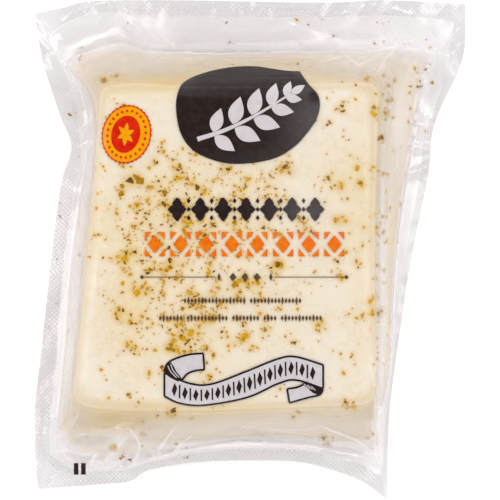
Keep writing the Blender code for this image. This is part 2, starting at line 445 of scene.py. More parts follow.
class Shader:
    """A material's nodes, added one call at a time."""

    def __init__(self, name):
        self.material = bpy.data.materials.new(name)
        self.material.use_nodes = True
        self.tree = self.material.node_tree
        self.tree.nodes.clear()
        self.output = self.tree.nodes.new("ShaderNodeOutputMaterial")

    def node(self, kind, settings=None, **inputs):
        node = self.tree.nodes.new("ShaderNode" + kind)
        for key, value in (settings or {}).items():
            setattr(node, key, value)
        for key, value in inputs.items():
            socket = node.inputs[int(key[1:]) if key[0] == "_" else key.replace("_", " ")]
            if isinstance(value, bpy.types.NodeSocket):
                self.tree.links.new(value, socket)
            else:
                socket.default_value = value
        return node

    def place(self):
        return self.node("TexCoord").outputs["Object"]

    def noise(self, scale, detail=3.0, roughness=0.5, vector=None):
        """Noise of a scale given in cells a metre."""
        node = self.node("TexNoise", Scale=scale, Detail=detail, Roughness=roughness,
                         Vector=vector or self.place())
        return node.outputs["Fac"]

    def ramp(self, value, *stops):
        """A colour ramp through (position, colour) stops."""
        node = self.node("ValToRGB", Fac=value)
        while len(node.color_ramp.elements) < len(stops):
            node.color_ramp.elements.new(1.0)
        for element, (position, colour) in zip(node.color_ramp.elements, stops):
            element.position = position
            element.color = (*colour, 1) if len(colour) == 3 else colour
        return node.outputs["Color"]

    def mixed(self, share, first, second):
        """A colour between two."""
        node = self.node("Mix", {"data_type": "RGBA"}, _0=share, _6=first, _7=second)
        return node.outputs[2]

    def ranged(self, value, low, high, to_low=0.0, to_high=1.0):
        node = self.node("MapRange", Value=value, _1=low, _2=high, _3=to_low, _4=to_high)
        return node.outputs["Result"]

    def attribute(self, name):
        return self.node("Attribute", {"attribute_name": name}).outputs["Fac"]

    def times(self, first, second):
        return self.node("Math", {"operation": "MULTIPLY"}, _0=first, _1=second).outputs[0]

    def bump(self, height, distance, strength):
        return self.node("Bump", Height=height, Distance=distance, Strength=strength).outputs["Normal"]

    def bsdf(self, kind, **inputs):
        return self.node("Bsdf" + kind, **inputs).outputs[0]

    def blend(self, share, first, second):
        """Two surfaces, mixed by the share of the second."""
        return self.node("MixShader", Fac=share, _1=first, _2=second).outputs[0]

    def sheen(self, normal):
        """How much a thin film mirrors, alike from both its sides: a little, and more at a slant."""
        slant = self.node("LayerWeight", Blend=0.5, Normal=normal).outputs["Facing"]
        power = self.node("Math", {"operation": "POWER"}, _0=slant, _1=5.0).outputs[0]
        return self.ranged(power, 0, 1, 0.06, 1.0)

    def finish(self, surface):
        self.tree.links.new(surface, self.output.inputs["Surface"])
        return self.material


def srgb(red, green, blue):
    """A linear colour from 0 to 255 screen values."""
    values = np.array((red, green, blue)) / 255
    linear = np.where(values <= 0.04045, values / 12.92, ((values + 0.055) / 1.055) ** 2.4)
    return (*linear.tolist(), 1.0)


def film_material(name, tint, haze_colour, gloss):
    """Clear film: what is behind it, a little milky haze with painted highlights, reflection and knurl
    shade laid into it, and a gloss that grows at a slant.

    Its worn attribute is where the gloss is broken, its dull attribute where there is less of it.
    """
    shader = Shader(name)
    normal = shader.bump(shader.noise(900), 0.00004, 0.6)
    clear = shader.bsdf("Transparent", Color=tint)
    body = shader.blend(shader.attribute("haze_and_painted_light"), clear, shader.bsdf("Diffuse", Color=haze_colour))
    rough = shader.ranged(shader.attribute("worn"), 0, 1, gloss, 0.45)
    shine = shader.bsdf("Glossy", Color=(1, 1, 1, 1), Roughness=rough, Normal=normal)
    mirror = shader.times(shader.sheen(normal), shader.ranged(shader.attribute("dull"), 0, 1, 1.0, 0.3))
    return shader.finish(shader.blend(mirror, body, shine))


def cheese_material():
    """Moist cream cheese, yellower where the herb has stained it, with faint veins, and with painted shade:
    yellower along the block's edges, darker round its face's edge.
    """
    shader = Shader("cheese")
    colour = shader.ramp(
        shader.noise(38, 4, 0.55),
        (0.3, srgb(244, 231, 203)), (0.5, srgb(246, 235, 214)), (0.7, srgb(248, 240, 226)),
    )
    patchy = shader.ranged(shader.noise(170, 4, 0.6), 0.3, 0.65, 0.4, 1.0)
    veins = shader.noise(95, 6, 0.7)
    vein = shader.times(shader.ranged(veins, 0.47, 0.5), shader.ranged(veins, 0.5, 0.53, 1.0, 0.0))
    # The herb's stain with painted shade along the edges, the flakes' stains, painted shade round the
    # face's edge, and veins
    for share, tone in (
        (shader.times(shader.attribute("stain_and_shade"), patchy), srgb(240, 208, 116)),
        (shader.attribute("halo"), srgb(228, 184, 58)),
        (shader.attribute("rim"), srgb(208, 184, 138)),
        (shader.ranged(vein, 0, 1, 0.0, 0.26), srgb(226, 204, 160)),
    ):
        colour = shader.mixed(share, colour, tone)
    grain = shader.bump(shader.noise(300, 4, 0.6), 0.0003, 0.5)
    return shader.finish(shader.bsdf(
        "Principled", Base_Color=colour, Roughness=0.5, Specular_IOR_Level=0.2, Normal=grain,
        Subsurface_Weight=0.25, Subsurface_Radius=(1.0, 0.6, 0.3), Subsurface_Scale=0.003,
    ))


def whey_material():
    """Milky liquid, half clear, by its veil attribute."""
    shader = Shader("whey")
    uneven = shader.ranged(shader.noise(110), 0.35, 0.65, 0.75, 1.1)
    cloud = shader.times(uneven, shader.attribute("veil"))
    clear = shader.bsdf("Transparent", Color=(0.985, 0.98, 0.975, 1))
    milk = shader.bsdf("Principled", Base_Color=srgb(239, 221, 186), Roughness=0.3, Specular_IOR_Level=0.2)
    return shader.finish(shader.blend(cloud, clear, milk))


def ink_material(name, colour, worn, clear=0.0):
    """Ink with a slightly uneven lay. Clear is the share that lets what is under it show."""
    shader = Shader(name)
    tone = shader.mixed(shader.ranged(shader.noise(700), 0.3, 0.7), colour, worn)
    surface = shader.bsdf("Principled", Base_Color=tone, Roughness=0.45, Specular_IOR_Level=0.05)
    if clear:
        surface = shader.blend(clear, surface, shader.bsdf("Transparent", Color=worn))
    return shader.finish(surface)


def leaf_material(name, dark, light):
    """Dry crushed leaf."""
    shader = Shader(name)
    patches = shader.ranged(shader.noise(1100), 0.3, 0.7)
    return shader.finish(shader.bsdf(
        "Principled", Base_Color=shader.mixed(patches, dark, light), Roughness=0.8,
        Specular_IOR_Level=0.1, Normal=shader.bump(patches, 0.0001, 0.8),
    ))


def floor_material():
    shader = Shader("floor")
    grain = shader.ranged(shader.noise(4, 2), 0.3, 0.7)
    tone = shader.mixed(grain, (0.9, 0.9, 0.905, 1), (0.91, 0.91, 0.915, 1))
    return shader.finish(shader.bsdf(
        "Principled", Base_Color=tone, Roughness=0.9, Emission_Color=(1, 1, 1, 1), Emission_Strength=0.15
    ))


# The film, the cheese and the whey

SEAL_DETAIL = 22
SEAL_RINGS = 29
CHEESE_DETAIL = 5
# How milky the film is: nearly clear on the face, and bloomed with whey where it leaves the block
FACE_HAZE = 0.0015
# Faint patches of painted reflection on the face, laid on as haze
FACE_PAINTED_REFLECTION = (
    ((18, 33), (9, 12), 0.07), ((15, 10), (9, 6), 0.06), ((6, 22), (14, 4), 0.02),
)
WALL_HAZE = 0.3
FLANGE_HAZE = 0.1
# Patches of bloom and of painted highlight on the walls and the flange, laid on as haze; clearer ones below
# zero
WALL_BLOOM_AND_HIGHLIGHTS = (
    ((-32, 60.5), (2.4, 1.6), 0.22), ((-24.4, 56.5), (4.5, 4.5), 0.3),
    ((-38.5, 52.8), (2.8, 1.6), 0.25), ((-2, 50.5), (22, 2.2), -0.16), ((-41, -51.5), (5, 2), 0.2),
    ((-33.5, -49), (2, 2), 0.25), ((-36, -44.5), (9, 2.2), -0.2), ((-2, -50.8), (26, 0.9), 0.4),
    ((8, -48.2), (18, 1.2), -0.1), ((-44.8, -10), (1.1, 12), 0.22), ((-46.8, -28), (1.1, 8), 0.18),
    ((-51.4, -3.6), (1.2, 2.2), 0.3), ((-53, -22.5), (1, 2), 0.3), ((34.2, 0), (0.9, 42), 0.34),
    ((36.9, -8), (1.6, 34), -0.26), ((38, 33), (4, 12), 0.2), ((0, 59), (46, 4), 0.17),
    ((26, 48), (8, 3), 0.14), ((-26, 48), (8, 3), 0.06), ((46, 31), (1.2, 5), 0.35),
)
# Where ink on the wall keeps the film clear
INKED = (((-0.6, 44), (19, 5), 1.6),)
# Where the gloss is broken
WORN = (
    ((-30, 60), (8, 5), 0.6), ((46, 46), (7, 9), 0.6), ((34, 56), (18, 7), 0.8),
    ((-32, -45.5), (4, 2.6), 0.9), ((0, 52.8), (34, 1.6), 0.9), ((-48, -8), (4, 30), 0.5),
    ((37, 0), (5, 34), 0.5),
)
# Where the film mirrors less
DULL = (
    ((40, -6), (3, 32), 0.7), ((46, 46), (5, 8), 0.4), ((-51, -40), (2.6, 10), 0.9),
    ((-40, 60), (7, 4), 0.5), ((-28, 59), (7, 4), 0.6), ((34, 56), (18, 6), 0.7),
)
# Where the knurl is faint
FAINT_KNURL = (((-53, 50), (8, 16), 0.65),)
SEAL_HAZE = 0.14
# Haze that follows the knurl, whiter on its diamonds: partly the pressed film, partly painted shading of
# their relief
KNURL_HAZE_AND_SHADE = 0.07
KNURL_DEPTH = 0.06
MOST_HAZE = 0.85
# In the middle of the face, flakes lie in the cheese and don't touch the film. Elsewhere each one
# keeps the film clear: how far, how much farther by its size, and what share of the haze
FACE_MIDDLE = ((-38, 30), (-38, 38))
TOUCH = 0.12
TOUCH_BY_SIZE = 0.62
CLEARING = 0.9
# The block's gap to the film, and how far its shoulder has dropped below the film at its side
CHEESE_GAP = 0.35
SHOULDER_DROP = 2.2
# How much darker the cheese is painted round the edge of its face, and a little less down its shoulders, as
# shade
RIM_SHADE = 0.5


def pressed(rings, flakes):
    """Where flakes off the face touch the film, 0 to 1 at each point of its rings."""
    x, y, _ = np.concatenate(rings).T
    touched = np.zeros(len(x))
    for flake_x, flake_y, size, _ in flakes:
        if within(FACE_MIDDLE, flake_x, flake_y):
            continue
        near = np.flatnonzero(np.hypot(x - flake_x, y - flake_y) < 1 + 1.5 * size)
        away = np.hypot(x[near] - flake_x, y[near] - flake_y) / (TOUCH + TOUCH_BY_SIZE * size)
        touched[near] = np.maximum(touched[near], np.exp(-away**4))
    return touched


def bloom_and_highlight_at(x, y):
    """How much whiter the upper film is in patches and along its creases, as bloom and as painted
    highlights.
    """
    return clusters_at(WALL_BLOOM_AND_HIGHLIGHTS, x, y) + crest_white_and_highlight_of(CREASES, x, y)


def web(name, material, detail, upper, face_rings, wall_rings, flange_rings, flakes=()):
    """One web of film, from the middle of the face or base out to the seal."""
    loops = Loops(detail)
    rings, marks = [], []
    for share in steps(face_rings):
        ring = loops.face_ring(share, upper)
        x, y = ring[:, :2].T
        worn = np.full(len(ring), eased((share - 0.93) / 0.05))
        dull = eased((share - 0.9) / 0.1) * share_at(INKED, x, y)
        rings.append(ring)
        marks.append((FACE_HAZE + clusters_at(FACE_PAINTED_REFLECTION, x, y), worn, dull))
    for out in steps(wall_rings):
        ring = loops.wall_ring(out, upper)
        x, y = ring[:, :2].T
        inked = share_at(INKED, x, y) * upper
        # The wall's haze, with bloom and painted highlights in patches and along creases
        bloom = (WALL_HAZE - FACE_HAZE) * eased(1.6 * out) + bloom_and_highlight_at(x, y) * upper * eased(3 * out)
        haze_and_painted_light = FACE_HAZE + np.clip(bloom, 0, MOST_HAZE) * (1 - inked)
        worn = np.clip(1 - eased((out - 0.06) / 0.14) + clusters_at(WORN, x, y), 0, 1)
        rings.append(ring)
        marks.append((haze_and_painted_light, worn, np.clip(inked + share_at(DULL, x, y), 0, 1)))
    for share in steps(flange_rings):
        ring = loops.flange_ring(share * loops.seal_start, upper)
        x, y = ring[:, :2].T
        bloom = WALL_HAZE + (FLANGE_HAZE - WALL_HAZE) * eased(2 * share)
        haze_and_painted_light = np.clip(bloom + bloom_and_highlight_at(x, y) * upper, 0, MOST_HAZE)
        rings.append(ring)
        marks.append((haze_and_painted_light, share_at(WORN, x, y), share_at(DULL, x, y)))
    haze_and_painted_light, worn, dull = np.concatenate(marks, axis=1)
    touched = pressed(rings, flakes)
    pole = (*loops.middle, FACE_HEIGHT - FACE_SINK if upper else 0)
    piece = mesh_of_rings(name, rings, pole, turned=not upper)
    set_attribute(piece, "haze_and_painted_light", np.append(haze_and_painted_light * (1 - CLEARING * touched), FACE_HAZE))
    set_attribute(piece, "dull", np.append(np.maximum(dull, touched), 0))
    set_attribute(piece, "worn", np.append(worn, 0))
    return dress(piece, material, replaces=True)


def heat_seal(material, flakes):
    """The band where both webs are fused, pressed with fine diamonds."""
    loops = Loops(SEAL_DETAIL)
    margin = 0.06
    rings, haze_and_painted_light = [], []
    for share in np.linspace(0, 1, SEAL_RINGS):
        ring = loops.flange_ring(loops.seal_start + share * (1 - loops.seal_start))
        x, y = ring[:, :2].T
        edge = eased(share / margin) * eased((1 - share) / margin)
        depth = loops.seal_depth * (1 - clusters_at(FAINT_KNURL, x, y))
        dent = knurl(x, y) * edge * depth
        # The seal's haze, whiter on the diamonds as painted shade of their relief, with bloom and painted
        # highlights
        haze_and_painted_light.append(np.clip(SEAL_HAZE + KNURL_HAZE_AND_SHADE * (dent + depth) + bloom_and_highlight_at(x, y), 0, MOST_HAZE))
        rings.append(raised(ring, KNURL_DEPTH * dent))
    piece = mesh_of_rings("heat_seal", rings)
    touched = pressed(rings, flakes)
    set_attribute(piece, "haze_and_painted_light", np.concatenate(haze_and_painted_light) * (1 - CLEARING * touched))
    set_attribute(piece, "dull", touched)
    return dress(piece, material, replaces=True)


# Where the herb lies, and how thick
HERB = (
    ((-14, 11), (15, 12), 0.84), ((-17, -16), (10, 14), 0.66), ((0, 2), (18, 22), 0.45),
    ((21, 37), (4, 3.5), 0.5), ((22.5, 19.5), (4, 3.5), 0.35), ((-30, -4), (6.5, 20), 0.36),
    ((34.5, 4), (2.4, 34), 0.34), ((44, 47), (6, 8), 0.1), ((12, 56), (12, 4), 0.05),
    ((-32, -54), (4, 2), 0.12),
)
# How yellow the cheese is where the herb lies thick, and at its base
HERB_STAIN = 0.18
BASE_STAIN = 0.2
# Patches painted yellower: shade along the top and bottom of the block and down its sides, and whey
SHADE_AND_WHEY_PATCHES = (
    ((-26, 44), (13, 3.4), 0.8), ((0, 44), (30, 3), 0.3), ((-10, -43), (36, 3), 0.62),
    ((-34, -42.8), (11, 2.8), 0.55), ((-38, 15), (3, 24), 0.12), ((-31, -14), (9, 18), 0.3),
    ((27, 10), (4, 30), 0.2),
)


def shoulder(loops, share):
    """A ring on the block's shoulder, share being 0 at the face's edge and 1 at its side."""
    ring = loops.wall_ring(loops.cheese_reach * np.sin(share * np.pi / 2))
    return raised(ring, -(CHEESE_GAP + SHOULDER_DROP * share**2))


def halo_at(flakes, x, y):
    """How far flakes have stained the cheese round them."""
    halo = np.zeros(len(x))
    for flake_x, flake_y, size, _ in flakes:
        near = np.flatnonzero(np.hypot(x - flake_x, y - flake_y) < 4 * HALO)
        reach = (x[near] - flake_x) ** 2 + (y[near] - flake_y) ** 2
        halo[near] += HALO_STRENGTH * size * np.exp(-reach / (HALO * (0.5 + 0.5 * size)) ** 2)
    return 1 - np.exp(-halo)


def cheese_block(flakes):
    """The block: it fills the pocket to the film at its face, and its shoulders and sides drop."""
    loops = Loops(CHEESE_DETAIL)
    rings, rim = [], []
    for share in steps(80):
        rings.append(raised(loops.face_ring(share), -CHEESE_GAP))
        rim.append(RIM_SHADE * eased((share - 0.95) / 0.06))
    for share in steps(24):
        rings.append(shoulder(loops, share))
        rim.append(RIM_SHADE * (1 - 0.6 * eased(share)))
    brow = rings[-1]
    fall = loops.wall_ring(loops.cheese_reach, upper=False)[:, 2] + CHEESE_GAP - brow[:, 2]
    for share in steps(8):
        rings.append(raised(brow, eased(share) * fall))
    for share in steps(12, 1, 0):
        rings.append(raised(loops.wall_ring(loops.cheese_reach * share, upper=False), CHEESE_GAP))
    for share in steps(8, 1, 0)[:-1]:
        rings.append(raised(loops.face_ring(share, upper=False), CHEESE_GAP))
    top = FACE_HEIGHT - FACE_SINK - CHEESE_GAP
    piece = mesh_of_rings("cheese_block", rings, (*loops.middle, top), (*loops.middle, CHEESE_GAP))
    x, y, z = (np.array([vertex.co for vertex in piece.data.vertices]) / MM).T
    # The herb's stain, with painted shade along the block's edges
    stain_and_shade = np.clip(HERB_STAIN * clusters_at(HERB, x, y) + clusters_at(SHADE_AND_WHEY_PATCHES, x, y), 0, 1)
    rim = np.repeat(rim, len(brow))
    upper_half = z > FACE_HEIGHT / 2
    set_attribute(piece, "rim", np.append(rim, np.zeros(len(x) - len(rim))))
    set_attribute(piece, "stain_and_shade", np.where(upper_half, stain_and_shade, BASE_STAIN))
    set_attribute(piece, "halo", np.where(upper_half, halo_at(flakes, x, y), 0))
    return dress(piece, cheese_material(), replaces=True)


def whey_pockets():
    """Whey between the film and the block's shoulder and sides, as one closed ring."""
    loops = Loops(CHEESE_DETAIL)
    film_gap, side_gap, shoulder_gap = 0.21, 0.02, 0.08
    inner, outer = 0.1, 0.92
    rings, veil = [], []
    for share in np.linspace(0, 1, 21):
        ring = loops.wall_ring(inner + share * (outer - inner))
        clear = 1 - share_at(INKED, *ring[:, :2].T)
        thin = 1 - loops.whey_fade * eased((share - 0.6) / 0.4)
        veil.append(loops.whey_veil * eased(2 * share) * clear * thin)
        rings.append(raised(ring, -film_gap))
    beside = loops.cheese_reach + side_gap
    for share in np.linspace(1, 0, 9):
        ring = loops.wall_ring(beside + share * (outer - beside), upper=False)
        rings.append(raised(ring, film_gap))
    brow, foot = loops.wall_ring(beside), rings[-1][:, 2]
    rise = shoulder(loops, 1.0)[:, 2] - foot
    for share in steps(6):
        rings.append(np.column_stack((brow[:, :2], foot + share * rise)))
    first = np.arcsin(inner / loops.cheese_reach) * 2 / np.pi
    for share in np.linspace(1, 0, 11):
        along = first + share * (1 - first)
        ring = loops.wall_ring(loops.cheese_reach * np.sin(along * np.pi / 2))
        rings.append(raised(ring, -(CHEESE_GAP - shoulder_gap + SHOULDER_DROP * along**2)))
    veil.extend([np.zeros(len(foot))] * (len(rings) - len(veil)))
    rings.append(rings[0])
    veil.append(veil[0])
    piece = mesh_of_rings("whey_pockets", rings)
    set_attribute(piece, "veil", np.concatenate(veil))
    joined = bmesh.new()
    joined.from_mesh(piece.data)
    bmesh.ops.remove_doubles(joined, verts=joined.verts[:], dist=1e-6)
    joined.to_mesh(piece.data)
    joined.free()
    return dress(piece, whey_material(), replaces=True)


# Print


class Surface:
    """Looks straight down on pieces, in millimetres."""

    def __init__(self, *pieces):
        self.trees = []
        for piece in pieces:
            points = [vertex.co for vertex in piece.data.vertices]
            faces = [tuple(face.vertices) for face in piece.data.polygons]
            self.trees.append(BVHTree.FromPolygons(points, faces))

    def hit(self, x, y):
        """The height and the normal at (x, y), from the first piece that is there."""
        for tree in self.trees:
            place, normal, _, _ = tree.ray_cast(Vector((x * MM, y * MM, 1)), Vector((0, 0, -1)))
            if place is not None:
                return place.z / MM, normal
        return None, None


def smooth_route(points, count=60):
    """Evenly spaced points on a smooth curve through the points, ends included."""
    return np.vstack((side_curve(points, count), [points[-1]]))


def stroke(points, width, count=60, taper=0.0):
    """The outline of a line of ink along a smooth curve."""
    route = smooth_route(points, count)
    run = np.gradient(route, axis=0)
    across = np.column_stack((-run[:, 1], run[:, 0])) / np.linalg.norm(run, axis=1)[:, None]
    half = width / 2 * (1 - taper * np.linspace(0, 1, len(route)))[:, None]
    return between(route + across * half, route - across * half)


def oval(middle, radii, tilt=0.0, count=72, uneven=()):
    """An ellipse's outline. Uneven holds (waves, height, phase) of a swing in its radius."""
    angle = np.linspace(0, 2 * np.pi, count, endpoint=False)
    swell = 1 + sum(height * np.cos(waves * angle + phase) for waves, height, phase in uneven)
    x, y = radii[0] * swell * np.cos(angle), radii[1] * swell * np.sin(angle)
    turn = np.radians(tilt)
    across = middle[0] + x * np.cos(turn) - y * np.sin(turn)
    return np.column_stack((across, middle[1] + x * np.sin(turn) + y * np.cos(turn)))


def bar(x0, x1, y0, y1):
    return np.array(((x0, y0), (x1, y0), (x1, y1), (x0, y1)))


def leaf(base, tip, width, count=14):
    """A pointed leaf's outline."""
    base, tip = np.array(base, float), np.array(tip, float)
    run = tip - base
    side = np.array((-run[1], run[0])) / np.linalg.norm(run)
    along = np.linspace(0, 1, count)
    bulge = width / 2 * np.sin(np.pi * along**0.8)
    one = base + along[:, None] * run + bulge[:, None] * side
    other = base + along[:, None] * run - bulge[:, None] * side
    return np.vstack((one, other[-2:0:-1]))


# Depths of ink under the film. Outlines of one field take turns at a few levels, so that they can
# overlap. Each is cut into facets, which follow the film.
NEAR, MIDDLE, FAR, FARTHER = 0.03, 0.06, 0.09, 0.12
LEVELS, LEVEL_STEP = 5, 0.004
INK_FACET = 0.9


class Press:
    """Lays flat fields of ink in named colours."""

    def __init__(self, surface):
        self.surface = surface
        self.inks = {
            "dark": ink_material("dark_ink", srgb(34, 23, 21), srgb(50, 37, 34)),
            "brown": ink_material("brown_ink", srgb(92, 70, 52), srgb(114, 90, 66), clear=0.18),
            "orange": ink_material("orange_ink", srgb(241, 106, 0), srgb(247, 138, 4), clear=0.04),
            "yellow": ink_material("yellow_ink", srgb(245, 159, 0), srgb(250, 178, 0)),
            "red": ink_material("red_ink", srgb(216, 10, 0), srgb(227, 50, 2)),
            "white": ink_material("white_ink", srgb(222, 216, 218), srgb(212, 206, 209)),
        }

    def lay(self, name, outlines, colour, depth=NEAR):
        """Outlines of ink, cut into small facets and laid a depth under the film."""
        flat = bmesh.new()
        for index, outline in enumerate(outlines):
            level = -LEVEL_STEP * (index % LEVELS)
            flat.faces.new([flat.verts.new((x, y, level)) for x, y in outline])
        flat.normal_update()
        bmesh.ops.triangulate(flat, faces=flat.faces[:])
        points = np.vstack(outlines)
        for axis in (0, 1):
            low, high = points[:, axis].min(), points[:, axis].max()
            for cut in np.arange(np.ceil(low / INK_FACET), np.ceil(high / INK_FACET)) * INK_FACET:
                place, normal = [0, 0, 0], [0, 0, 0]
                place[axis], normal[axis] = cut, 1
                parts = flat.verts[:] + flat.edges[:] + flat.faces[:]
                bmesh.ops.bisect_plane(flat, geom=parts, dist=1e-5, plane_co=place, plane_no=normal)
        for vertex in flat.verts:
            height, _ = self.surface.hit(vertex.co.x, vertex.co.y)
            vertex.co.z += height - depth
            vertex.co *= MM
        flat.normal_update()
        for face in flat.faces:
            if face.normal.z < 0:
                face.normal_flip()
        mesh = bpy.data.meshes.new("print_" + name)
        flat.to_mesh(mesh)
        flat.free()
        dress(add(mesh.name, mesh), self.inks[colour])


def between(one, other):
    """The outline of the field between two routes."""
    return np.vstack((one, other[::-1]))


def diamond(x, y, reach_x, reach_y):
    return np.array(((x - reach_x, y), (x, y - reach_y), (x + reach_x, y), (x, y + reach_y)))


def spread(x0, x1, count):
    """The middles of a number of equal cells side by side."""
    return x0 + (x1 - x0) * (np.arange(count) + 0.5) / count


def print_oval(press):
    """A dark uneven oval, nipped where the film has folded, with a pale sprig of leaves."""
    nip = (12.9, 46.3)
    rim = (
        nip, (15, 43.1), (17.6, 40), (18, 36.7), (16.8, 33.1), (13.7, 28.9), (11.1, 26.4),
        (6.7, 23.8), (0.8, 22.5), (-5.2, 22.3), (-10.3, 23.5), (-14.5, 25.6), (-17.3, 28.9), (-18.7, 33.1),
        (-19.1, 38), (-18.1, 42.1), (-15.8, 44.3), (-10.9, 46.2), (-5.2, 47.4), (0.8, 47.7), (5.2, 47.1),
        (9.3, 46.5), nip,
    )
    press.lay("oval", [smooth_route(rim, 110)[:-1]], "dark", FAR)
    stem = ((-13.6, 28.6), (-6.4, 31), (1.6, 34.9), (10.6, 40.4))
    route = smooth_route(stem, 40)
    sprig = [stroke(stem, 1.2, 40, taper=0.6)]
    for step, (index, length) in enumerate(((6, 7.2), (14, 8.2), (22, 8), (30, 6.6), (37, 4.6))):
        root, run = route[index], route[index + 1] - route[index]
        heading = np.degrees(np.arctan2(run[1], run[0]))
        for side in (-1, 1):
            turn = np.radians(heading + side * (54 - 4 * step))
            tip = root + length * np.array((np.cos(turn), np.sin(turn)))
            sprig.append(leaf(root + 0.1 * (tip - root), tip, 0.48 * length))
    sprig.append(leaf(route[-1], route[-1] + np.array((3.6, 2.2)), 2))
    press.lay("sprig", sprig, "white")


def print_badge(press):
    """A plain round badge with a scalloped rim, seen as an oval because the film has been pulled."""
    centre, heart, tilt = (-31.9, 29.9), (-32.1, 29.9), -14
    scallops = oval(centre, (6.35, 7.6), tilt, 216, ((36, 0.018, 0),))
    press.lay("badge_rim", [scallops], "red", FARTHER)
    press.lay("badge_ring", [oval(centre, (6, 7.25), tilt)], "yellow", FAR)
    press.lay("badge_middle", [oval(heart, (3.7, 4.9), tilt)], "red", MIDDLE)
    beads = [oval(place, (0.32, 0.36), 0, 12) for place in oval(centre, (4.9, 6.1), tilt, 24)]
    press.lay("badge_beads", beads, "red")
    petals = [
        leaf(heart, (heart[0] + 2.3 * np.cos(turn), heart[1] + 3.1 * np.sin(turn)), 1.2)
        for turn in np.radians(np.arange(0, 360, 60) + 20)
    ]
    press.lay("badge_petals", petals, "yellow")


def print_rosettes(press):
    """A row of rosettes with small diamonds between them, in place of a word."""
    level, petal_x, petal_y = 10.5, 2.45, 3.15
    petals = ((petal_x, 0, 2.3), (-petal_x, 0, 2.3), (0, petal_y, 2.5), (0, -petal_y, 2.5))
    rosettes = []
    for x in spread(-21.8, 19.8, 7):
        rosettes += [leaf((x, level), (x + tip_x, level + tip_y), width) for tip_x, tip_y, width in petals]
        if x < 15:
            rosettes += [diamond(x + 2.97, level + shift, 0.5, 0.7) for shift in (-2.2, 0, 2.2)]
    press.lay("dark_row", rosettes, "dark")


def print_tiles(press):
    """A row of tiles, each a diamond and four corners, in place of a word."""
    level, half_x, half_y, corner_x, corner_y = 1.5, 2.6, 3.15, 1.7, 2.1
    tiles = []
    for x in spread(-27.9, 25.1, 8):
        tiles.append(diamond(x, level, 1.9, 2.35))
        for side_x in (-1, 1):
            for side_y in (-1, 1):
                corner = np.array((x + side_x * half_x, level + side_y * half_y))
                across, along = (side_x * corner_x, 0), (0, side_y * corner_y)
                tiles.append(np.array((corner, corner - across, corner - along)))
    press.lay("orange_row", tiles, "orange")


def print_divider(press):
    """Two rules with a small figure of three diamonds between them."""
    level = -7.0
    rules = [bar(x0, x1, level - 0.11, level + 0.11) for x0, x1 in ((-27.4, -8.8), (6.2, 24.4))]
    for reach, places in (
        ((0.6, 0.6), (-27.9, 24.9)), ((0.45, 1.1), (-8, 5.4)), ((0.9, 1.1), (-4.4, -1.3, 1.8)),
    ):
        rules += [diamond(x, level, *reach) for x in places]
    press.lay("divider", rules, "brown")


def print_small_rows(press):
    """Two rows of small diamonds in groups, in place of small words."""
    pitch = 0.9
    beads = []
    for level, start, groups in ((-13.1, -16.8, (18, 15)), (-17.6, -23.2, (7, 12, 8, 4, 12))):
        x = start
        for count in groups:
            for step in range(count):
                height = 1.1 if step % 4 == 1 else 0.78
                beads.append(diamond(x + pitch * step, level, 0.36, height))
            x += pitch * count + pitch
    press.lay("small_rows", beads, "brown")


